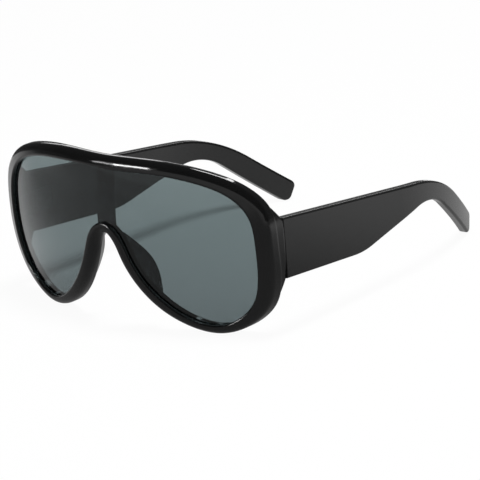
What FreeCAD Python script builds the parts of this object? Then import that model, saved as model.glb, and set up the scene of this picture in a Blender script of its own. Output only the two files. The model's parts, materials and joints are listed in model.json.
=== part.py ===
import FreeCAD, Part
import math
import os

os.makedirs("parts", exist_ok=True)
V = FreeCAD.Vector

# Front: overall size and the ball it is wrapped on
FRONT_WIDTH = 141.2
FRONT_HEIGHT = 72.0
WRAP_RADIUS = 129.0
WRAP_CENTRE_HEIGHT = 41.2
RIM_DEPTH = 5.5
BACK_LIFT = 3.0
RIM_ROUND = 3.2
LIP_ROUND = 0.7
BACK_ROUND = 1.0
BACK_LIP_ROUND = 0.5

# Half outline of the front, from brow centre round to the nose arch:
# share of half width, share of height, width of the rim there in millimetres
OUTLINE = (
    (0.000, 0.999, 5.0),
    (0.368, 0.997, 5.1),
    (0.652, 0.954, 5.0),
    (0.857, 0.869, 5.5),
    (0.972, 0.747, 6.3),
    (1.000, 0.555, 5.7),
    (0.988, 0.335, 5.6),
    (0.938, 0.183, 5.4),
    (0.812, 0.060, 4.5),
    (0.623, 0.000, 3.9),
    (0.439, 0.046, 4.3),
    (0.283, 0.149, 5.0),
    (0.166, 0.285, 5.2),
    (0.089, 0.431, 5.2),
    (0.046, 0.523, 5.0),
    (0.000, 0.558, 4.8),
)

# Shield lens and the groove that holds it
LENS_RECESS = 1.6
LENS_THICKNESS = 2.0
GROOVE_DEPTH = 1.2
GROOVE_EDGE_GAP = 0.08

# Post behind the lens, brow to nose arch
POST_WIDTH = 8.8
POST_DEPTH = 1.6
POST_LENS_GAP = 0.2
POST_ROUND = 0.6
POST_ARCH_LAP = 1.2
POST_BROW_LAP = 1.6

# Nose pads
PAD_REACH = 6.6
PAD_FLARE = 3.4
PAD_INSET = 2.3
PAD_HALF_THICKNESS = 1.5
PAD_STATIONS = 7
PAD_LOW = 0.04
PAD_HIGH = 0.96
PAD_SINK = 1.6
PAD_STAND = 2.2

# Temples
SEAM_DEPTH = 30.2
SEAM_GAP = 0.15
SEAM_ROUND = 0.25
END_TOP = 48.3
END_BOTTOM = 22.9
END_LENGTH = 9.0
END_TOP_SLANT = 52.0
END_BOTTOM_SLANT = 68.0
END_ROUND = 1.0
END_INSET = 0.15
TEMPLE_THICKNESS = 4.2
TEMPLE_ROUND = 0.9
TEMPLE_SPLAY = 2.5
TEMPLE_STRAIGHT = 78.0
TEMPLE_BOW_RADIUS = 140.0
BOW_MARGIN = 1.3
TEMPLE_REACH = 141.0
TEMPLE_TIP_LENGTH = 9.2
TEMPLE_TIP_LEAN = 68.0
TEMPLE_TOP_SLOPE = 7.3
TEMPLE_EAR_SLOPE = 39.4
TEMPLE_BEND_ROUND = 66.0
TEMPLE_SWEEP = 50.3
TEMPLE_SWEEP_DROP = 4.1
TEMPLE_SWEEP_SLOPE = 11.8
TEMPLE_SWEEP_ROUND = 40.0
TEMPLE_UNDER_ROUND = 26.0
TIP_ROUND = 2.6

# Core wires inside the temples
CORE_START = 14.0
CORE_DROP = 1.0
CORE_END_MARGIN = 8.0
CORE_HEIGHT = 1.6
CORE_THICKNESS = 1.2

# Hinges
HINGE_INSET = 6.1
HINGE_WALL_GAP = 0.2
BARREL_RADIUS = 1.5
BARREL_COUNT = 5
BARREL_HEIGHT = 1.8
BARREL_GAP = 0.05
LEAF_THICKNESS = 1.4
LEAF_SINK = 0.3
LEAF_BARREL_GAP = 0.15
LEAF_FRONT_LENGTH = 5.0
LEAF_TEMPLE_LENGTH = 9.4
LEAF_POCKET_GAP = 0.03
PIN_RADIUS = 0.7
PIN_CLEARANCE = 0.04
PIN_HEAD_RADIUS = 1.25
PIN_HEAD_HEIGHT = 0.7
PIN_SLOT = 0.35
PIN_SLOT_DEPTH = 0.3

# Small screws that fix the leaves
SCREW_RADIUS = 0.5
SCREW_CLEARANCE = 0.05
SCREW_LENGTH = 3.4
SCREW_HEAD_RADIUS = 0.95
SCREW_HEAD_HEIGHT = 0.45
SCREW_SLOT = 0.3
SCREW_SLOT_DEPTH = 0.2
SCREW_SPACING = 4.6

HALF_WIDTH = FRONT_WIDTH / 2
BALL_CENTRE = V(0, WRAP_RADIUS, WRAP_CENTRE_HEIGHT)
BACK_CENTRE = BALL_CENTRE + V(0, 0, BACK_LIFT)
LENS_OUTER_RADIUS = WRAP_RADIUS - LENS_RECESS
LENS_INNER_RADIUS = LENS_OUTER_RADIUS - LENS_THICKNESS
BACK_RADIUS = WRAP_RADIUS - RIM_DEPTH
END_MIDDLE = (END_TOP + END_BOTTOM) / 2
WALL = BARREL_RADIUS + HINGE_WALL_GAP
AXIS = V(HALF_WIDTH - HINGE_INSET, SEAM_DEPTH, 0)
FAR = 300.0


def ball(radius, centre=BALL_CENTRE):
    """Solid ball, about the centre of the wrap unless another is given."""
    return Part.makeSphere(radius, centre)


def shell(outer, inner):
    """Solid between two balls about the centre of the wrap."""
    return ball(outer).cut(ball(inner))


def outline_curve():
    """Closed smooth curve of the front's outer edge in the upright plane."""
    half = [V(HALF_WIDTH * a, 0, FRONT_HEIGHT * b) for a, b, w in OUTLINE]
    points = half + [V(-p.x, 0, p.z) for p in half[-2:0:-1]]
    curve = Part.BSplineCurve()
    curve.interpolate(points, PeriodicFlag=True)
    return curve, points


def inward(curve, parameter):
    """Unit direction from the outer edge into the rim."""
    tangent = curve.tangent(parameter)[0]
    return V(tangent.z, 0, -tangent.x)


OUTER, OUTER_POINTS = outline_curve()


def rim_curve(extra):
    """Closed curve inside the rim, moved out from the lens opening by extra."""
    widths = [w for a, b, w in OUTLINE]
    widths = widths + widths[-2:0:-1]
    points = []
    for point, width in zip(OUTER_POINTS, widths):
        parameter = OUTER.parameter(point)
        points.append(point + inward(OUTER, parameter) * (width - extra))
    curve = Part.BSplineCurve()
    curve.interpolate(points, PeriodicFlag=True)
    return curve


def deep(curve):
    """Solid made by pushing a closed upright curve from front to back."""
    face = Part.Face(Part.Wire([curve.toShape()]))
    face.translate(V(0, -20, 0))
    return face.extrude(V(0, 80, 0))


def rounded(corners):
    """Closed wire through corners (a, b, radius) in the XY plane, corners rounded."""
    count = len(corners)
    edges = []
    ends = []
    for i in range(count):
        here = V(corners[i][0], corners[i][1], 0)
        before = V(corners[i - 1][0], corners[i - 1][1], 0) - here
        after = V(corners[(i + 1) % count][0], corners[(i + 1) % count][1], 0) - here
        before.normalize()
        after.normalize()
        radius = corners[i][2]
        if radius <= 0:
            ends.append((here, None, here))
            continue
        half = before.getAngle(after) / 2
        run = radius / math.tan(half)
        middle = before + after
        middle.normalize()
        centre = here + middle * (radius / math.sin(half))
        ends.append((here + before * run, centre - middle * radius, here + after * run))
    for i in range(count):
        first, middle, last = ends[i]
        if middle is not None:
            edges.append(Part.Arc(first, middle, last).toShape())
        following = ends[(i + 1) % count][0]
        if (following - last).Length > 1e-6:
            edges.append(Part.makeLine(last, following))
    return Part.Wire(edges)


def side_prism(corners):
    """Solid of a side view outline (run, height), pushed across the temple."""
    face = Part.Face(rounded(corners))
    face.rotate(V(0, 0, 0), V(1, 0, 0), 90)
    face.rotate(V(0, 0, 0), V(0, 0, 1), 90)
    face.translate(V(-100, 0, 0))
    return face.extrude(V(200, 0, 0))


def box(a, b):
    """Box between two corners."""
    size = b - a
    return Part.makeBox(size.x, size.y, size.z, a)


def placed(shape):
    """Copy of a shape moved from hinge coordinates to its place on the left side."""
    copy = shape.copy()
    copy.rotate(V(0, 0, 0), V(0, 0, 1), TEMPLE_SPLAY)
    copy.translate(AXIS)
    return copy


def mirrored(shape):
    """Right-hand copy of a left-hand shape."""
    return shape.mirror(V(0, 0, 0), V(1, 0, 0))


def both(shape):
    """Left-hand and right-hand shapes together."""
    return [shape, mirrored(shape)]


def ball_edges(solid, radius, centre=BALL_CENTRE):
    """Edges of a solid that lie on a ball."""
    found = []
    for edge in solid.Edges:
        spots = [edge.valueAt(edge.FirstParameter + s * (edge.LastParameter - edge.FirstParameter))
                 for s in (0.1, 0.37, 0.5, 0.81)]
        if all(abs((p - centre).Length - radius) < 1e-3 for p in spots):
            found.append(edge)
    return found


def long_edges(solid, radius, centre=BALL_CENTRE):
    """Long edges on a ball, shortest first."""
    found = ball_edges(solid, radius, centre)
    return sorted((e for e in found if e.Length > FRONT_WIDTH / 2), key=lambda e: e.Length)


def seam_edges(block):
    """Outer edges of an end piece's face at the seam."""
    found = []
    for edge in block.Edges:
        spots = [v.Point for v in edge.Vertexes]
        spots.append(edge.valueAt((edge.FirstParameter + edge.LastParameter) / 2))
        turn = FreeCAD.Rotation(V(0, 0, 1), -TEMPLE_SPLAY)
        spots = [turn.multVec(p - AXIS) for p in spots]
        at_seam = all(abs(p.y + SEAM_GAP / 2) < 1e-4 for p in spots)
        if at_seam and min(p.x for p in spots) > WALL + TEMPLE_THICKNESS / 2:
            found.append(edge)
    return found


def slanted_edges(block):
    """Edges where an end piece's slanted faces meet its outer wall."""
    found = []
    for edge in block.Edges:
        ends = [v.Point for v in edge.Vertexes]
        middle = edge.valueAt((edge.FirstParameter + edge.LastParameter) / 2)
        outside = middle.x > HALF_WIDTH - TEMPLE_THICKNESS / 2
        rise = abs(ends[0].z - ends[-1].z)
        run = abs(ends[0].y - ends[-1].y)
        if outside and rise > 1 and run > 1:
            found.append(edge)
    return found


def end_piece(blank):
    """Left end piece: the part of the blank that runs back to the temple."""
    shrunk = blank.copy()
    shrunk.translate(V(-END_INSET, 0, 0))
    block = shrunk.common(placed(box(V(WALL, -END_LENGTH, -50), V(40, -SEAM_GAP / 2, 150))))
    front = SEAM_DEPTH - END_LENGTH
    for height, slant, side in ((END_BOTTOM, END_BOTTOM_SLANT, -1), (END_TOP, END_TOP_SLANT, 1)):
        climb = side * math.tan(math.radians(slant))
        low = V(0, SEAM_DEPTH + 1, height - climb)
        high = V(0, front, height + climb * END_LENGTH)
        beyond = side * FAR
        points = [low, high, V(0, front, beyond), V(0, SEAM_DEPTH + 1, beyond), low]
        block = block.cut(Part.Face(Part.makePolygon(points)).extrude(V(FAR, 0, 0)))
    block = block.makeFillet(END_ROUND, slanted_edges(block))
    return block.makeFillet(SEAM_ROUND, seam_edges(block))


def front_blank():
    """Front with rounded edges, open lens hole and end pieces."""
    blank = deep(OUTER).common(ball(WRAP_RADIUS))
    blank = blank.makeFillet(RIM_ROUND, long_edges(blank, WRAP_RADIUS))
    rim = blank.cut(ball(BACK_RADIUS, BACK_CENTRE))
    rim = rim.makeFillet(BACK_ROUND, long_edges(rim, BACK_RADIUS, BACK_CENTRE))
    rim = rim.cut(deep(rim_curve(0.0)))
    rim = rim.makeFillet(LIP_ROUND, long_edges(rim, WRAP_RADIUS)[:1])
    rim = rim.makeFillet(BACK_LIP_ROUND, long_edges(rim, BACK_RADIUS, BACK_CENTRE)[:1])
    for block in both(end_piece(blank)):
        rim = rim.fuse(block)
    return rim


def post():
    """Upright post behind the lens from the brow to the nose arch."""
    outer = LENS_INNER_RADIUS - POST_LENS_GAP
    arch = FRONT_HEIGHT * OUTLINE[-1][1] + POST_ARCH_LAP
    brow = FRONT_HEIGHT * OUTLINE[0][1] - POST_BROW_LAP
    column = box(V(-POST_WIDTH / 2, -20, arch), V(POST_WIDTH / 2, 60, brow))
    solid = column.common(shell(outer, outer - POST_DEPTH))
    backs = [e for e in ball_edges(solid, outer - POST_DEPTH)]
    return solid.makeFillet(POST_ROUND, backs)


def leaf(front):
    """Hinge leaf with its barrels, in hinge coordinates."""
    side = -1 if front else 1
    length = LEAF_FRONT_LENGTH if front else LEAF_TEMPLE_LENGTH
    near = BARREL_RADIUS + LEAF_BARREL_GAP
    u1 = WALL + LEAF_SINK
    u0 = u1 - LEAF_THICKNESS
    half = BARREL_COUNT * BARREL_HEIGHT / 2
    v0, v1 = sorted((side * near, side * (near + length)))
    solid = box(V(u0, v0, END_MIDDLE - half), V(u1, v1, END_MIDDLE + half))
    first = 0 if front else 1
    for i in range(first, BARREL_COUNT, 2):
        z0 = END_MIDDLE - half + i * BARREL_HEIGHT + BARREL_GAP / 2
        tall = BARREL_HEIGHT - BARREL_GAP
        barrel = Part.makeCylinder(BARREL_RADIUS, tall, V(0, 0, z0))
        w0, w1 = sorted((0.0, side * (near + 0.4)))
        neck = box(V(u0, w0, z0), V(BARREL_RADIUS, w1, z0 + tall))
        solid = solid.fuse(barrel).fuse(neck)
    solid = solid.removeSplitter()
    bore = PIN_RADIUS + (0.0 if front else PIN_CLEARANCE)
    solid = solid.cut(Part.makeCylinder(bore, 80, V(0, 0, END_MIDDLE - 40)))
    for place in screw_places(front):
        radius = SCREW_RADIUS + SCREW_CLEARANCE
        solid = solid.cut(Part.makeCylinder(radius, FAR, place - V(FAR / 2, 0, 0), V(1, 0, 0)))
    return solid


def leaf_pocket(front):
    """Shallow pocket that takes a hinge leaf."""
    side = -1 if front else 1
    length = LEAF_FRONT_LENGTH if front else LEAF_TEMPLE_LENGTH
    near = BARREL_RADIUS + LEAF_BARREL_GAP
    half = BARREL_COUNT * BARREL_HEIGHT / 2 + LEAF_POCKET_GAP
    v0, v1 = sorted((side * (near - LEAF_POCKET_GAP), side * (near + length + LEAF_POCKET_GAP)))
    return box(V(WALL - 5, v0, END_MIDDLE - half), V(WALL + LEAF_SINK, v1, END_MIDDLE + half))


def screw_places(front):
    """Points on the leaf's inner face where its screws sit."""
    u = WALL + LEAF_SINK - LEAF_THICKNESS
    near = BARREL_RADIUS + LEAF_BARREL_GAP
    half = SCREW_SPACING / 2
    if front:
        v = -near - LEAF_FRONT_LENGTH / 2
        return [V(u, v, END_MIDDLE - half), V(u, v, END_MIDDLE + half)]
    v = near + LEAF_TEMPLE_LENGTH / 2
    return [V(u, v - half, END_MIDDLE), V(u, v + half, END_MIDDLE)]


def slotted(shape, top, direction, width, radius, depth):
    """Cuts a driver slot across a screw head whose outer face is at top."""
    size = 4 * radius
    slot = Part.makeBox(size, width, depth, V(-size / 2, -width / 2, -depth))
    turned = FreeCAD.Placement(top, FreeCAD.Rotation(V(0, 0, 1), direction))
    slot.Placement = turned.multiply(slot.Placement)
    return shape.cut(slot)


def fixing_screws(front):
    """Screws that hold one leaf, as one group of solids."""
    solids = []
    for place in screw_places(front):
        head = Part.makeCylinder(SCREW_HEAD_RADIUS, SCREW_HEAD_HEIGHT, place, V(-1, 0, 0))
        shank = Part.makeCylinder(SCREW_RADIUS, SCREW_LENGTH, place, V(1, 0, 0))
        top = place - V(SCREW_HEAD_HEIGHT, 0, 0)
        screw = head.fuse(shank).removeSplitter()
        out = V(-1, 0, 0)
        solids.append(slotted(screw, top, out, SCREW_SLOT, SCREW_HEAD_RADIUS, SCREW_SLOT_DEPTH))
    return Part.Compound([placed(s) for s in solids])


def screw_holes(front):
    """Pilot holes for the fixing screws."""
    holes = []
    for place in screw_places(front):
        holes.append(Part.makeCylinder(SCREW_RADIUS, SCREW_LENGTH, place, V(1, 0, 0)))
    return holes


def hinge_screw():
    """Screw that is the hinge's pivot."""
    half = BARREL_COUNT * BARREL_HEIGHT / 2
    top = END_MIDDLE + half - BARREL_GAP / 2
    bottom = END_MIDDLE - half + BARREL_GAP / 2
    shank = Part.makeCylinder(PIN_RADIUS, top - bottom, V(0, 0, bottom))
    head = Part.makeCylinder(PIN_HEAD_RADIUS, PIN_HEAD_HEIGHT, V(0, 0, top))
    solid = shank.fuse(head).removeSplitter()
    crown = V(0, 0, top + PIN_HEAD_HEIGHT)
    return slotted(solid, crown, V(0, 0, 1), PIN_SLOT, PIN_HEAD_RADIUS, PIN_SLOT_DEPTH)


def plan_band(outer_u, inner_u, start):
    """Upright wall that follows the bow of the temple between two offsets."""
    centre_u = WALL + TEMPLE_THICKNESS - TEMPLE_BOW_RADIUS
    bow = BOW_MARGIN * (TEMPLE_REACH - TEMPLE_STRAIGHT) / TEMPLE_BOW_RADIUS
    wires = []
    ends = []
    for u in (outer_u, inner_u):
        radius = u - centre_u
        a = V(u, start, 0)
        b = V(u, TEMPLE_STRAIGHT, 0)
        c = V(centre_u + radius * math.cos(bow / 2), TEMPLE_STRAIGHT + radius * math.sin(bow / 2), 0)
        d = V(centre_u + radius * math.cos(bow), TEMPLE_STRAIGHT + radius * math.sin(bow), 0)
        if b.y - a.y > 1e-6:
            wires.append(Part.makeLine(a, b))
        wires.append(Part.Arc(b, c, d).toShape())
        ends.append((a, d))
    wires.append(Part.makeLine(ends[0][0], ends[1][0]))
    wires.append(Part.makeLine(ends[0][1], ends[1][1]))
    face = Part.Face(Part.Wire(Part.__sortEdges__(wires)))
    face.translate(V(0, 0, -20))
    return face.extrude(V(0, 0, 120))


def temple_corners():
    """Corners of the temple's side view with their rounding radii."""
    start = SEAM_GAP / 2
    top_fall = math.tan(math.radians(TEMPLE_TOP_SLOPE))
    ear_fall = math.tan(math.radians(TEMPLE_EAR_SLOPE))
    rise = math.tan(math.radians(TEMPLE_SWEEP_SLOPE))
    lean = math.radians(TEMPLE_TIP_LEAN)
    ear = math.radians(TEMPLE_EAR_SLOPE)
    end_face = V(math.cos(lean), math.sin(lean), 0)
    underside = V(-math.cos(ear), math.sin(ear), 0)
    half = end_face.getAngle(underside) / 2
    middle = end_face + underside
    middle.normalize()
    lift = TIP_ROUND - middle.y * TIP_ROUND / math.sin(half)
    tip_low = (TEMPLE_REACH - TEMPLE_TIP_LENGTH * end_face.x, lift)
    tip_top = (TEMPLE_REACH, tip_low[1] + TEMPLE_TIP_LENGTH * end_face.y)
    bend_run = (tip_top[1] + ear_fall * TEMPLE_REACH - END_TOP) / (ear_fall - top_fall)
    bend = (bend_run, END_TOP - top_fall * bend_run)
    sweep = (TEMPLE_SWEEP, END_BOTTOM - TEMPLE_SWEEP_DROP)
    under_run = (tip_low[1] + ear_fall * tip_low[0] - sweep[1] + rise * sweep[0]) / (rise + ear_fall)
    under = (under_run, sweep[1] + rise * (under_run - sweep[0]))
    return [
        (start, END_TOP - top_fall * start, 0),
        bend + (TEMPLE_BEND_ROUND,),
        tip_top + (TIP_ROUND,),
        tip_low + (TIP_ROUND,),
        under + (TEMPLE_UNDER_ROUND,),
        sweep + (TEMPLE_SWEEP_ROUND,),
        (start, END_BOTTOM, 0),
    ]


def temple_blank():
    """Temple plate with rounded long edges, in hinge coordinates."""
    corners = temple_corners()
    start = SEAM_GAP / 2
    solid = side_prism(corners).common(plan_band(WALL + TEMPLE_THICKNESS, WALL, start))
    centre = V(WALL + TEMPLE_THICKNESS - TEMPLE_BOW_RADIUS, TEMPLE_STRAIGHT, 0)
    rounds = []
    for edge in solid.Edges:
        middle = edge.valueAt((edge.FirstParameter + edge.LastParameter) / 2)
        ends = [v.Point for v in edge.Vertexes]
        if abs(middle.y - start) < 1e-4:
            continue
        flat = [V(p.x, p.y, 0) for p in ends + [middle]]
        sides = set()
        for p in flat:
            if p.y <= TEMPLE_STRAIGHT + 1e-6:
                offset = p.x - WALL
            else:
                offset = (p - centre).Length - TEMPLE_BOW_RADIUS + TEMPLE_THICKNESS
            sides.add(round(offset, 2))
        upright = abs(ends[0].x - ends[-1].x) < 1e-6 and abs(ends[0].y - ends[-1].y) < 1e-6
        if len(sides) == 1 and not upright:
            rounds.append(edge)
    solid = solid.makeFillet(TEMPLE_ROUND, rounds)
    ends = [e for e in solid.Edges if all(abs(v.Y - start) < 1e-4 for v in e.Vertexes)]
    return solid.makeFillet(SEAM_ROUND, ends)


def core_wire():
    """Flat wire inside the temple, in hinge coordinates."""
    corners = temple_corners()
    bend, tip_top, tip_low, under = corners[1], corners[2], corners[3], corners[4]
    start = (CORE_START, END_MIDDLE - CORE_DROP)
    knee = ((bend[0] + under[0]) / 2 + CORE_DROP, (bend[1] + under[1]) / 2 - CORE_DROP)
    tip = ((tip_top[0] + tip_low[0]) / 2, (tip_top[1] + tip_low[1]) / 2)
    run = math.hypot(tip[0] - knee[0], tip[1] - knee[1])
    share = 1 - CORE_END_MARGIN / run
    stop = (knee[0] + (tip[0] - knee[0]) * share, knee[1] + (tip[1] - knee[1]) * share)
    half = CORE_HEIGHT / 2
    first = math.atan2(knee[1] - start[1], knee[0] - start[0])
    second = math.atan2(stop[1] - knee[1], stop[0] - knee[0])
    turn = (first + second) / 2
    long_half = half / math.cos((first - second) / 2)
    outline = []
    for side, order in ((1, (0, 1, 2)), (-1, (2, 1, 0))):
        spots = [
            (start[0] - side * half * math.sin(first), start[1] + side * half * math.cos(first), 0),
            (knee[0] - side * long_half * math.sin(turn), knee[1] + side * long_half * math.cos(turn),
             (TEMPLE_BEND_ROUND + TEMPLE_UNDER_ROUND) / 2 + side * half),
            (stop[0] - side * half * math.sin(second), stop[1] + side * half * math.cos(second), 0),
        ]
        outline += [spots[i] for i in order]
    middle = WALL + TEMPLE_THICKNESS / 2
    band = plan_band(middle + CORE_THICKNESS / 2, middle - CORE_THICKNESS / 2, SEAM_GAP / 2)
    return side_prism(outline).common(band)


def nose_pad():
    """Left nose pad standing on the back of the rim beside the nose arch."""
    low = OUTER.parameter(OUTER_POINTS[len(OUTLINE) - 5])
    high = OUTER.parameter(OUTER_POINTS[len(OUTLINE) - 1])
    wires = []
    for i in range(PAD_STATIONS):
        t = (i + 0.5) / PAD_STATIONS
        parameter = low + (high - low) * (PAD_LOW + (PAD_HIGH - PAD_LOW) * t)
        bump = math.sin(math.pi * t)
        across = inward(OUTER, parameter)
        along = OUTER.tangent(parameter)[0]
        point = OUTER.value(parameter) + across * PAD_INSET
        flat = BACK_RADIUS ** 2 - point.x ** 2 - (point.z - BACK_CENTRE.z) ** 2
        root = V(point.x, WRAP_RADIUS - math.sqrt(flat) - PAD_SINK, point.z)
        edge = root + across * (PAD_FLARE * bump) + V(0, PAD_STAND + PAD_REACH * bump, 0)
        reach = edge - root
        centre = (root + edge) * 0.5
        long_radius = reach.Length / 2
        normal = reach.cross(along)
        normal.normalize()
        short = min(PAD_HALF_THICKNESS, long_radius * 0.9)
        ellipse = Part.Ellipse(centre + reach * 0.5, centre + normal * short, centre)
        wires.append(Part.Wire([ellipse.toShape()]))
    return Part.makeLoft(wires, True, False).common(ball(BACK_RADIUS, BACK_CENTRE))


def biggest(shape):
    """Largest solid of a shape."""
    return sorted(shape.Solids, key=lambda s: s.Volume)[-1]


# Left-hand hinge parts in place
front_leaf = placed(leaf(True))
temple_leaf = placed(leaf(False))
pin = placed(hinge_screw())
front_screws = fixing_screws(True)
temple_screws = fixing_screws(False)

# Front frame
groove = deep(rim_curve(GROOVE_DEPTH + GROOVE_EDGE_GAP)).common(shell(LENS_OUTER_RADIUS, LENS_INNER_RADIUS))
frame = front_blank()
frame = frame.cut(groove)
frame = frame.fuse(post())
for tool in [leaf_pocket(True)] + screw_holes(True):
    for copy in both(placed(tool)):
        frame = frame.cut(copy)
frame = biggest(frame.removeSplitter())

# Shield lens
lens = biggest(deep(rim_curve(GROOVE_DEPTH)).common(shell(LENS_OUTER_RADIUS, LENS_INNER_RADIUS)))

# Nose pads
pad = biggest(nose_pad().cut(frame))

# Temples and their core wires
core_local = biggest(core_wire())
temple_local = temple_blank()
for tool in [core_local, leaf_pocket(False)] + screw_holes(False):
    temple_local = temple_local.cut(tool)
temple = placed(biggest(temple_local))
core = placed(core_local)

nodes = {"front_frame": frame, "shield_lens": lens}
pairs = {
    "nose_pad": pad,
    "temple": temple,
    "temple_core_wire": core,
    "hinge_front_leaf": front_leaf,
    "hinge_temple_leaf": temple_leaf,
    "hinge_screw": pin,
    "hinge_front_fixing_screws": front_screws,
    "hinge_temple_fixing_screws": temple_screws,
}
for name, shape in pairs.items():
    nodes[name + "_left"] = shape
    nodes[name + "_right"] = mirrored(shape)

# Whole part stands on the ground, centred over the origin
whole = Part.Compound([frame, temple]).optimalBoundingBox()
shift = V(0, -(whole.YMin + whole.YMax) / 2, -whole.ZMin)
for name, shape in nodes.items():
    shape.translate(shift)
    shape.exportStep("parts/" + name + ".step")
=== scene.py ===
"""Studio picture of oversized shield sunglasses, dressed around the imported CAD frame."""

from __future__ import annotations

import json
import logging
import math
from dataclasses import dataclass, field
from enum import Enum
from typing import Any, Union

import bpy
from mathutils import Matrix, Quaternion, Vector

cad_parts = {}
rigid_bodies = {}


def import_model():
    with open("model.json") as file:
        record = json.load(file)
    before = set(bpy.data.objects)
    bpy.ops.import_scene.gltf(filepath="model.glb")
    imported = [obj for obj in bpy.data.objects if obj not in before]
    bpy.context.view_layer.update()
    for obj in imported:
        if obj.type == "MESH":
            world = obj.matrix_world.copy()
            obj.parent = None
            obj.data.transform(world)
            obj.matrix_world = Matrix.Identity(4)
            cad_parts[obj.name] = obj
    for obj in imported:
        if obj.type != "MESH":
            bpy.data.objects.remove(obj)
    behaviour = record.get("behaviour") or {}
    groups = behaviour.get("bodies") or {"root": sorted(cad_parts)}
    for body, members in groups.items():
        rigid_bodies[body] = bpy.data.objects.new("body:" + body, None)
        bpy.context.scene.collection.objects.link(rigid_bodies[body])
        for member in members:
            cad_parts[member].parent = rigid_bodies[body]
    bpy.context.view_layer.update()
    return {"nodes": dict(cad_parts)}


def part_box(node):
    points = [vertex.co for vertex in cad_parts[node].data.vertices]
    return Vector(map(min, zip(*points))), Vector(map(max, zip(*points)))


LOG = logging.getLogger("sunglasses")
PICTURE_PIXELS = 480
MILLIMETRE = 0.001
EDGE_SAMPLES = 8
WHITE = (1.0, 1.0, 1.0, 1.0)

# Places of a Mix node's colour sockets, whose names its number sockets share
MIX_FIRST = 6
MIX_SECOND = 7
MIX_RESULT = 2

Triple = tuple[float, float, float]
Span = tuple[float, float]
Value = Union["Sock", float]
Nodes = dict[str, bpy.types.Object]


class Side(Enum):
    """Wearer's side that a piece sits on."""

    LEFT = "left"
    RIGHT = "right"


class TreeEnd(Enum):
    """Output node that closes a node tree."""

    MATERIAL = "ShaderNodeOutputMaterial"
    WORLD = "ShaderNodeOutputWorld"


class Sock:
    """Shader socket that takes part in Python sums."""

    def __init__(self, shader: Shader, socket: bpy.types.NodeSocket) -> None:
        """Keeps the socket and the shader that it belongs to."""
        self.shader = shader
        self.socket = socket

    def _sum(self, operation: str, left: Value, right: Value) -> Sock:
        """Adds one Math node.

        Args:
            operation: Blender's name of the sum.
            left: First value.
            right: Second value.

        Returns:
            The node's result.
        """
        return self.shader.node("ShaderNodeMath", {"operation": operation}, {0: left, 1: right})

    def __add__(self, other: Value) -> Sock:
        """Sum of two values."""
        return self._sum("ADD", self, other)

    def __radd__(self, other: Value) -> Sock:
        """Sum of two values."""
        return self._sum("ADD", other, self)

    def __sub__(self, other: Value) -> Sock:
        """Difference of two values."""
        return self._sum("SUBTRACT", self, other)

    def __rsub__(self, other: Value) -> Sock:
        """Difference of two values."""
        return self._sum("SUBTRACT", other, self)

    def __mul__(self, other: Value) -> Sock:
        """Product of two values."""
        return self._sum("MULTIPLY", self, other)

    def __rmul__(self, other: Value) -> Sock:
        """Product of two values."""
        return self._sum("MULTIPLY", other, self)

    def __neg__(self) -> Sock:
        """Value with its sign turned."""
        return self._sum("MULTIPLY", self, -1.0)

    def most(self, other: Value) -> Sock:
        """Larger of two values."""
        return self._sum("MAXIMUM", self, other)


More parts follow.
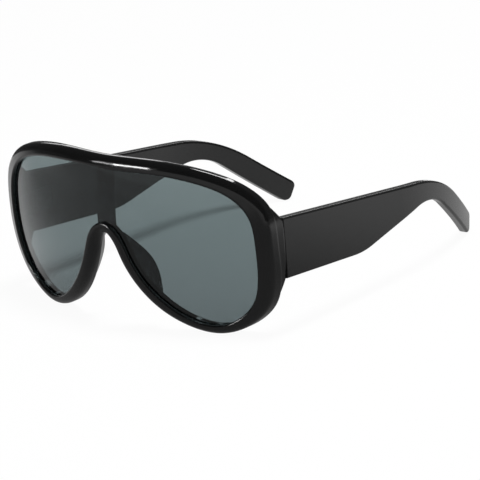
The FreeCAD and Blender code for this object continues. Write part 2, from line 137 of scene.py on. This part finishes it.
class Shader:
    """Node tree under construction."""

    def __init__(self, tree: bpy.types.NodeTree, end: TreeEnd = TreeEnd.MATERIAL) -> None:
        """Empties a node tree.

        Args:
            tree: Tree of a material or of the world.
            end: Output node that the tree ends in.
        """
        self.tree = tree
        self.end = end
        tree.nodes.clear()

    def node(
        self,
        kind: str,
        settings: dict[str, Any] | None = None,
        inputs: dict[str | int, Any] | None = None,
        output: str | int = 0,
    ) -> Sock:
        """Adds a node.

        Args:
            kind: Blender's type name of the node.
            settings: Properties of the node, set first; "stops" are a ramp's places and greys.
            inputs: Values or links of its sockets.
            output: Which result is wanted.

        Returns:
            That result's socket.
        """
        made = self.tree.nodes.new(kind)
        for name, value in (settings or {}).items():
            if name == "stops":
                for stop, (place, grey) in zip(made.color_ramp.elements, value):
                    stop.position = place
                    stop.color = (grey, grey, grey, 1.0)
            else:
                setattr(made, name, value)
        for key, value in (inputs or {}).items():
            if isinstance(value, Sock):
                self.tree.links.new(value.socket, made.inputs[key])
            else:
                made.inputs[key].default_value = value
        return Sock(self, made.outputs[output])

    def place(self, stretch: Triple = (1.0, 1.0, 1.0), turn: Triple = (0.0, 0.0, 0.0)) -> Sock:
        """Object coordinates in metres, stretched and turned.

        Args:
            stretch: Scale along each axis.
            turn: Turn about each axis, in radians.

        Returns:
            The coordinates.
        """
        raw = self.node("ShaderNodeTexCoord", output="Object")
        return self.node(
            "ShaderNodeMapping", None, {"Vector": raw, "Scale": stretch, "Rotation": turn}
        )

    def axes(self, vector: Sock) -> list[Sock]:
        """Splits a vector.

        Args:
            vector: Vector to split.

        Returns:
            Its values along X, Y and Z.
        """
        return [self.node("ShaderNodeSeparateXYZ", None, {0: vector}, axis) for axis in "XYZ"]

    def distance(self, place: Sock, point: Triple = (0.0, 0.0, 0.0)) -> Sock:
        """Measures how far coordinates lie from a point.

        Args:
            place: Coordinates.
            point: Point to measure from.

        Returns:
            The distance.
        """
        return self.node(
            "ShaderNodeVectorMath", {"operation": "DISTANCE"}, {0: place, 1: point}, "Value"
        )

    def rays(self) -> list[Sock]:
        """Tests what looks at the surface.

        Returns:
            Whether the camera sees it, a gloss mirrors it, or it shows through clear plastic.
        """
        kinds = ("Camera", "Glossy", "Transmission")
        return [self.node("ShaderNodeLightPath", output=f"Is {kind} Ray") for kind in kinds]

    def noise(self, place: Sock, scale: float, detail: float = 3.0) -> Sock:
        """Cloudy pattern from 0 to 1.

        Args:
            place: Coordinates that it reads.
            scale: Patches per unit of those coordinates.
            detail: Finer layers on top.

        Returns:
            The pattern.
        """
        return self.node(
            "ShaderNodeTexNoise", None, {"Vector": place, "Scale": scale, "Detail": detail}
        )

    def ramp(self, value: Sock, span: Span) -> Sock:
        """Pattern cut to run from 0 to 1 over a span.

        Args:
            value: Pattern to cut.
            span: Where it starts and where it is full.

        Returns:
            The cut pattern.
        """
        low, high = span
        return self.node("ShaderNodeValToRGB", {"stops": ((low, 0.0), (high, 1.0))}, {0: value})

    def fade(self, value: Sock, span: Span) -> Sock:
        """Soft step from 0 to 1 over a span.

        Args:
            value: Value to step.
            span: Where it starts and where it is full.

        Returns:
            The step.
        """
        low, high = span
        return self.node(
            "ShaderNodeMapRange",
            {"interpolation_type": "SMOOTHSTEP"},
            {"Value": value, "From Min": low, "From Max": high},
        )

    def tint(self, share: Sock, first: Triple, second: Triple) -> Sock:
        """Mixes two colours.

        Args:
            share: How much of the second shows.
            first: Colour at 0.
            second: Colour at 1.

        Returns:
            The mixed colour.
        """
        return self.node(
            "ShaderNodeMix",
            {"data_type": "RGBA"},
            {0: share, MIX_FIRST: (*first, 1.0), MIX_SECOND: (*second, 1.0)},
            output=MIX_RESULT,
        )

    def bump(self, height: Sock, depth: float, strength: float, soft_edge: float = 0.0) -> Sock:
        """Turns a height pattern into a normal.

        Args:
            height: Pattern from 0 to 1.
            depth: Height of its peaks in metres.
            strength: How much of it is felt.
            soft_edge: Radius in metres over which edges catch the light softly.

        Returns:
            The normal.
        """
        inputs = {"Height": height, "Distance": depth, "Strength": strength}
        if soft_edge:
            inputs["Normal"] = self.node(
                "ShaderNodeBevel", {"samples": EDGE_SAMPLES}, {"Radius": soft_edge}
            )
        return self.node("ShaderNodeBump", None, inputs)

    def finish(self, surface: Sock) -> None:
        """Sends a surface to the tree's output."""
        out = self.tree.nodes.new(self.end.value)
        self.tree.links.new(surface.socket, out.inputs["Surface"])


def new_material(name: str) -> tuple[bpy.types.Material, Shader]:
    """Makes an empty node material.

    Args:
        name: Name of the finish.

    Returns:
        The material and its shader.
    """
    material = bpy.data.materials.new(name)
    material.use_nodes = True
    return material, Shader(material.node_tree)


@dataclass(frozen=True)
class BlackPlastic:
    """Black moulded plastic, from a tumbled gloss to a satin."""

    name: str
    deep: Triple
    bloom: Triple
    roughness: float
    haze: float
    hairline: float
    ripple: float
    soft_edge: float
    refraction: float = 1.5
    cloud_scale: float = 90.0
    hairline_stretch: Triple = (60.0, 900.0, 900.0)
    hairline_turn: Triple = (0.3, 0.2, 0.5)
    hairline_scale: float = 1.6
    hairline_cut: Span = (0.62, 0.72)
    ripple_scale: float = 420.0
    ripple_depth: float = 0.02 * MILLIMETRE

    def material(self) -> bpy.types.Material:
        """Builds the finish.

        Returns:
            Material with cloudy depth, polishing hairlines, a faint ripple and soft edges.
        """
        material, shader = new_material(self.name)
        place = shader.place()
        cloud = shader.noise(place, self.cloud_scale)
        along = shader.place(self.hairline_stretch, self.hairline_turn)
        lines = shader.noise(along, self.hairline_scale, detail=2.0)
        scuffs = shader.ramp(lines, self.hairline_cut)
        ripple = shader.noise(place, self.ripple_scale, detail=1.0)
        surface = shader.node(
            "ShaderNodeBsdfPrincipled",
            None,
            {
                "Base Color": shader.tint(cloud, self.deep, self.bloom),
                "Roughness": self.roughness + self.haze * cloud + self.hairline * scuffs,
                "IOR": self.refraction,
                "Normal": shader.bump(ripple, self.ripple_depth, self.ripple, self.soft_edge),
            },
        )
        shader.finish(surface)
        return material


@dataclass(frozen=True)
class SmokeLens:
    """Grey-green smoke lens that the far side shows through."""

    name: str = "smoke_lens"
    top: Triple = (0.158, 0.205, 0.210)
    # Painted shade: the lens's colour at its foot, darker where the floor behind it lies in shadow
    painted_shade_bottom: Triple = (0.112, 0.140, 0.146)
    painted_shade_height: float = 0.072
    roughness: float = 0.006
    smear: float = 0.012
    smear_stretch: Triple = (50.0, 50.0, 220.0)
    smear_turn: Triple = (0.0, 0.4, 0.0)
    smear_cut: Span = (0.55, 0.75)
    refraction: float = 1.5

    def material(self) -> bpy.types.Material:
        """Builds the finish.

        Returns:
            Clear material with painted shade that darkens it towards its foot, and faint wiped
            smears in its gloss.
        """
        material, shader = new_material(self.name)
        height = shader.axes(shader.place())[2]
        # Painted shade: the colour runs from the top tint down to the darker foot over this height
        share = shader.node(
            "ShaderNodeMapRange",
            None,
            {"Value": height, "From Min": 0.0, "From Max": self.painted_shade_height},
        )
        wiped = shader.place(self.smear_stretch, self.smear_turn)
        smears = shader.ramp(shader.noise(wiped, scale=1.0, detail=4.0), self.smear_cut)
        surface = shader.node(
            "ShaderNodeBsdfPrincipled",
            None,
            {
                "Base Color": shader.tint(share, self.painted_shade_bottom, self.top),
                "Roughness": self.roughness + self.smear * smears,
                "IOR": self.refraction,
                "Transmission Weight": 1.0,
            },
        )
        shader.finish(surface)
        return material


@dataclass(frozen=True)
class Steel:
    """Bare or blackened steel with drawn or turned tool marks."""

    name: str
    pale: Triple
    dark: Triple
    grain: Triple
    roughness: float
    marks: float
    mark_depth: float = 0.01 * MILLIMETRE
    mark_strength: float = 0.3
    stain_scale: float = 700.0

    def material(self) -> bpy.types.Material:
        """Builds the finish.

        Returns:
            Metal whose marks run along its grain.
        """
        material, shader = new_material(self.name)
        lines = shader.noise(shader.place(self.grain), scale=1.0, detail=2.0)
        stain = shader.noise(shader.place(), self.stain_scale)
        surface = shader.node(
            "ShaderNodeBsdfPrincipled",
            None,
            {
                "Base Color": shader.tint(stain, self.dark, self.pale),
                "Metallic": 1.0,
                "Roughness": self.roughness + self.marks * lines,
                "Normal": shader.bump(lines, self.mark_depth, self.mark_strength),
            },
        )
        shader.finish(surface)
        return material


RIM_GLOSS = BlackPlastic(
    "rim_gloss",
    deep=(0.0030, 0.0031, 0.0032),
    bloom=(0.0055, 0.0056, 0.0058),
    roughness=0.045,
    haze=0.03,
    hairline=0.05,
    ripple=0.03,
    soft_edge=0.9 * MILLIMETRE,
)
TEMPLE_SATIN = BlackPlastic(
    "temple_satin",
    deep=(0.0050, 0.0052, 0.0052),
    bloom=(0.0085, 0.0087, 0.0087),
    roughness=0.16,
    haze=0.06,
    hairline=0.06,
    ripple=0.05,
    soft_edge=0.4 * MILLIMETRE,
)
PAD_SATIN = BlackPlastic(
    "pad_satin",
    deep=(0.0050, 0.0052, 0.0052),
    bloom=(0.0090, 0.0092, 0.0092),
    roughness=0.20,
    haze=0.08,
    hairline=0.04,
    ripple=0.05,
    soft_edge=0.4 * MILLIMETRE,
)
LEAF_STEEL = Steel(
    "leaf_steel",
    pale=(0.10, 0.10, 0.102),
    dark=(0.06, 0.06, 0.061),
    grain=(5000.0, 400.0, 5000.0),
    roughness=0.30,
    marks=0.18,
)
SCREW_STEEL = Steel(
    "screw_steel",
    pale=(0.14, 0.14, 0.142),
    dark=(0.09, 0.09, 0.091),
    grain=(4000.0, 4000.0, 900.0),
    roughness=0.26,
    marks=0.14,
)
WIRE_STEEL = Steel(
    "wire_steel",
    pale=(0.60, 0.60, 0.58),
    dark=(0.48, 0.48, 0.47),
    grain=(6000.0, 200.0, 6000.0),
    roughness=0.22,
    marks=0.15,
)


def dress(node: bpy.types.Object, material: bpy.types.Material) -> None:
    """Gives a CAD node one finish all over.

    Args:
        node: Node's object.
        material: Finish to wear.
    """
    node.data.materials.clear()
    node.data.materials.append(material)
    LOG.info("dressed %s in %s", node.name, material.name)


@dataclass
class Front:
    """Rim, lens and nose pads."""

    rim: BlackPlastic = RIM_GLOSS
    pads: BlackPlastic = PAD_SATIN
    lens: SmokeLens = SmokeLens()

    def build(self, nodes: Nodes) -> None:
        """Dresses the front's nodes.

        Args:
            nodes: CAD nodes by name.
        """
        dress(nodes["front_frame"], self.rim.material())
        dress(nodes["shield_lens"], self.lens.material())
        pad = self.pads.material()
        for side in Side:
            dress(nodes[f"nose_pad_{side.value}"], pad)


@dataclass
class Temples:
    """Two temples with the wires inside them."""

    plate: BlackPlastic = TEMPLE_SATIN
    wire: Steel = WIRE_STEEL

    def build(self, nodes: Nodes) -> None:
        """Dresses the temples' nodes.

        Args:
            nodes: CAD nodes by name.
        """
        plate = self.plate.material()
        wire = self.wire.material()
        for side in Side:
            dress(nodes[f"temple_{side.value}"], plate)
            dress(nodes[f"temple_core_wire_{side.value}"], wire)


@dataclass
class Hinges:
    """Barrel hinges with their screws."""

    leaf: Steel = LEAF_STEEL
    screw: Steel = SCREW_STEEL

    def build(self, nodes: Nodes) -> None:
        """Dresses the hinges' nodes.

        Args:
            nodes: CAD nodes by name.
        """
        leaf = self.leaf.material()
        screw = self.screw.material()
        for side in Side:
            for half in ("front", "temple"):
                dress(nodes[f"hinge_{half}_leaf_{side.value}"], leaf)
                dress(nodes[f"hinge_{half}_fixing_screws_{side.value}"], screw)
            dress(nodes[f"hinge_screw_{side.value}"], screw)


@dataclass
class SoftBox:
    """One softbox lamp, which lights the studio or only shines in the black gloss."""

    name: str
    place: Triple
    aim: Triple
    width: float
    height: float
    power: float
    roll: float = 0.0
    lights: bool = False
    mirrored: bool = True

    def build(self) -> bpy.types.Object:
        """Hangs the lamp.

        Returns:
            The lamp's object.
        """
        light = bpy.data.lights.new(self.name, "AREA")
        light.shape = "RECTANGLE"
        light.size = self.width
        light.size_y = self.height
        light.energy = self.power
        lamp = bpy.data.objects.new(self.name, light)
        bpy.context.scene.collection.objects.link(lamp)
        lamp.location = self.place
        toward = Vector(self.aim) - Vector(self.place)
        rolled = Quaternion((0.0, 0.0, 1.0), math.radians(self.roll))
        lamp.rotation_mode = "QUATERNION"
        lamp.rotation_quaternion = toward.to_track_quat("-Z", "Y") @ rolled
        lamp.visible_diffuse = self.lights
        lamp.visible_glossy = self.mirrored
        return lamp


@dataclass
class Lamps:
    """Overhead softbox, and the softboxes whose reflections draw the rim's streaks."""

    brow: Triple = (0.01, -0.082, 0.068)
    brow_roll: float = 8.0
    crown: Triple = (0.045, -0.07, 0.067)
    crown_roll: float = 15.0
    middle: Triple = (0.0, 0.0, 0.045)

    def overhead(self) -> SoftBox:
        """Lamp that lights the floor and the pieces, seen in no reflection.

        Returns:
            The lamp.
        """
        return SoftBox(
            "overhead_softbox",
            place=(0.16, 0.0, 0.95),
            aim=(0.0, 0.0, 0.0),
            width=0.24,
            height=0.24,
            power=7.2,
            lights=True,
            mirrored=False,
        )

    def brow_lamps(self) -> list[SoftBox]:
        """Lamps mirrored along the brow: the streak, its tail and the halo round it.

        Returns:
            The lamps.
        """
        streak = SoftBox(
            "brow_softbox",
            place=(-0.453, -0.953, 0.233),
            aim=self.brow,
            width=0.28,
            height=0.14,
            power=3.4,
            roll=self.brow_roll,
        )
        tail = SoftBox(
            "brow_tail_softbox",
            place=(-0.628, -0.842, 0.19),
            aim=self.brow,
            width=0.22,
            height=0.11,
            power=0.55,
            roll=self.brow_roll,
        )
        halo = SoftBox(
            "brow_halo_softbox",
            place=(-0.56, -0.994, 0.297),
            aim=self.brow,
            width=0.50,
            height=0.28,
            power=0.7,
            roll=self.brow_roll,
        )
        return [streak, tail, halo]

    def rear_lamps(self) -> list[SoftBox]:
        """Lamps behind the object, mirrored at the rim's crown and along its back.

        Returns:
            The lamps.
        """
        crown = SoftBox(
            "crown_softbox",
            place=(-0.275, 0.683, 0.945),
            aim=self.crown,
            width=0.37,
            height=0.19,
            power=2.5,
            roll=self.crown_roll,
        )
        back = SoftBox(
            "back_softbox",
            place=(-0.75, 0.80, 0.44),
            aim=self.middle,
            width=0.7,
            height=0.2,
            power=1.1,
        )
        return [crown, back]

    def build(self, nodes: Nodes) -> None:
        """Hangs the lamps; those that only shine in gloss are kept off the lens.

        Args:
            nodes: CAD nodes by name.
        """
        black = bpy.data.collections.new("black_pieces")
        for name, node in nodes.items():
            if name != "shield_lens":
                black.objects.link(node)
        for lamp in [self.overhead(), *self.brow_lamps(), *self.rear_lamps()]:
            hung = lamp.build()
            if not lamp.lights:
                hung.light_linking.receiver_collection = black


@dataclass(frozen=True)
class FloorMirror:
    """Floor as glossy pieces mirror it: brightness of its patches, and where each fades."""

    near: float = 0.26
    back: float = 0.55
    back_rise: Span = (-0.02, 0.13)
    back_end: Span = (0.3, 0.6)
    far: float = 0.20
    far_rise: Span = (0.25, 0.8)
    far_end: Span = (-0.3, 0.1)
    side_rise: Span = (0.05, 0.11)
    left: float = 0.15
    left_rise: Span = (-0.55, -0.2)
    flank: float = 0.65
    flank_rise: Span = (-0.14, 0.01)
    nose: float = 0.6
    nose_place: Triple = (-0.014, -0.026, 0.0)
    nose_end: Span = (0.012, 0.034)
    past: float = 0.10
    paper_edge: Span = (-0.52, -0.40)

    def brightness(self, shader: Shader, place: Sock) -> Sock:
        """Adds up the patches.

        Args:
            shader: Shader of the floor.
            place: Coordinates on the floor.

        Returns:
            The brightness, pale behind and beside the object and dim past the paper's edge.
        """
        across, depth, _ = shader.axes(place)
        away = shader.distance(place)
        back = shader.fade(depth, self.back_rise) * (1.0 - shader.fade(away, self.back_end))
        far = shader.fade(away, self.far_rise) * (1.0 - shader.fade(depth, self.far_end))
        side = shader.fade(-across, self.side_rise)
        left = side * shader.fade(depth, self.left_rise)
        flank = side * shader.fade(depth, self.flank_rise)
        nose = 1.0 - shader.fade(shader.distance(place, self.nose_place), self.nose_end)
        paper = shader.fade(across - depth, self.paper_edge)
        pale = (
            back * self.back
            + far * self.far
            + left * self.left
            + flank * self.flank
            + nose * self.nose
            + self.near
        )
        return pale * paper + (1.0 - paper) * self.past


@dataclass
class Floor:
    """Pale floor that reads as white and keeps the shadow."""

    size: float = 8.0
    drop: float = 0.0002
    pale: Triple = (0.90, 0.90, 0.90)
    paler: Triple = (0.92, 0.92, 0.92)
    grain_scale: float = 60.0
    seen_white: float = 0.95
    glass_white: float = 0.28
    mirror: FloorMirror = FloorMirror()

    def material(self) -> bpy.types.Material:
        """Builds the floor's finish.

        Returns:
            The material.
        """
        material, shader = new_material("pale_floor")
        camera, glossy, glass = shader.rays()
        place = shader.place()
        grain = shader.noise(place, self.grain_scale)
        matt = shader.tint(grain, self.pale, self.paler)
        lit = shader.node("ShaderNodeBsdfDiffuse", None, {"Color": matt})
        white = shader.node("ShaderNodeEmission", None, {"Color": WHITE})
        share = camera * self.seen_white + glass * self.glass_white
        seen = shader.node("ShaderNodeMixShader", None, {0: share, 1: lit, 2: white})
        patches = self.mirror.brightness(shader, place)
        mirrored = shader.node("ShaderNodeEmission", None, {"Color": patches})
        bounced = glossy * (1.0 - glass)
        shader.finish(shader.node("ShaderNodeMixShader", None, {0: bounced, 1: seen, 2: mirrored}))
        return material

    def build(self) -> None:
        """Lays the floor just under the object."""
        bpy.ops.object.select_all(action="DESELECT")
        bpy.ops.mesh.primitive_plane_add(size=self.size, location=(0.0, 0.0, -self.drop))
        floor = bpy.context.object
        floor.name = "studio_floor"
        floor.data.materials.append(self.material())


@dataclass
class Room:
    """Room round the floor: white to the eye, pale at the horizon and dim above it in mirrors."""

    ambient: float = 0.35
    horizon: float = 0.52
    horizon_tilt: float = 0.147
    horizon_edge: Span = (-0.03, 0.03)
    horizon_rise: Span = (0.2, 0.5)
    front: float = 0.06
    back: float = 0.14
    back_rise: Span = (0.4, 0.8)

    def build(self) -> None:
        """Makes the world."""
        world = bpy.data.worlds.new("studio_room")
        world.use_nodes = True
        bpy.context.scene.world = world
        shader = Shader(world.node_tree, TreeEnd.WORLD)
        camera, glossy, glass = shader.rays()
        across, depth, height = shader.axes(shader.node("ShaderNodeTexCoord", output="Generated"))
        above = shader.fade(height - (across - depth) * self.horizon_tilt, self.horizon_edge)
        ceiling = shader.fade(depth, self.back_rise) * (self.back - self.front) + self.front
        low = shader.fade(-depth, self.horizon_rise) * (1.0 - above)
        mirrored = (1.0 - low) * ceiling + low * self.horizon
        seen = camera.most(glass)
        plain = (1.0 - seen) * (1.0 - glossy)
        grey = seen + glossy * mirrored * (1.0 - seen) + plain * self.ambient
        shader.finish(shader.node("ShaderNodeBackground", None, {"Color": grey}))


@dataclass
class Studio:
    """Floor, lamps and room."""

    floor: Floor = field(default_factory=Floor)
    lamps: Lamps = field(default_factory=Lamps)
    room: Room = field(default_factory=Room)

    def build(self, nodes: Nodes) -> None:
        """Sets up the studio round the object.

        Args:
            nodes: CAD nodes by name.
        """
        self.floor.build()
        self.lamps.build(nodes)
        self.room.build()


@dataclass
class PhotoCamera:
    """Camera at the photograph's angle."""

    azimuth: float = 43.079
    elevation: float = 17.349
    roll: float = 5.090
    pixels_per_metre: float = 2482.0
    distance: float = 2.618
    anchor_behind_rim: float = 0.020
    anchor_height: float = 0.036
    anchor_right_pixels: float = -102.826
    anchor_up_pixels: float = 18.833
    sensor: float = 36.0

    def build(self) -> None:
        """Places the camera so that the anchor lies at its pixels from the picture's middle."""
        turn = math.radians(self.azimuth)
        lift = math.radians(self.elevation)
        roll = math.radians(self.roll)
        level = math.cos(lift)
        back = Vector((math.sin(turn) * level, -math.cos(turn) * level, math.sin(lift)))
        right = Vector((math.cos(turn), math.sin(turn), 0.0))
        up = back.cross(right)
        rim_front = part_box("front_frame")[0].y
        anchor = Vector((0.0, rim_front + self.anchor_behind_rim, self.anchor_height))
        eye = anchor + back * self.distance
        offset = right * self.anchor_right_pixels + up * self.anchor_up_pixels
        toward = (eye - (anchor - offset / self.pixels_per_metre)).normalized()
        across = (up * math.cos(roll) + right * math.sin(roll)).cross(toward).normalized()
        data = bpy.data.cameras.new("photo_camera")
        data.sensor_width = self.sensor
        data.lens = self.sensor * self.distance * self.pixels_per_metre / PICTURE_PIXELS
        camera = bpy.data.objects.new("photo_camera", data)
        bpy.context.scene.collection.objects.link(camera)
        turned = Matrix((across, toward.cross(across), toward)).transposed().to_4x4()
        camera.matrix_world = Matrix.Translation(eye) @ turned
        bpy.context.scene.camera = camera


def main() -> None:
    """Loads the frame, dresses it and sets the studio round it."""
    logging.basicConfig(level=logging.INFO, format="%(name)s: %(message)s")
    for old in list(bpy.data.objects):
        bpy.data.objects.remove(old)
    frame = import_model()
    nodes = frame["nodes"]
    Front().build(nodes)
    Temples().build(nodes)
    Hinges().build(nodes)
    Studio().build(nodes)
    PhotoCamera().build()
    bpy.context.scene.view_settings.view_transform = "Standard"


if __name__ == "__main__":
    main()
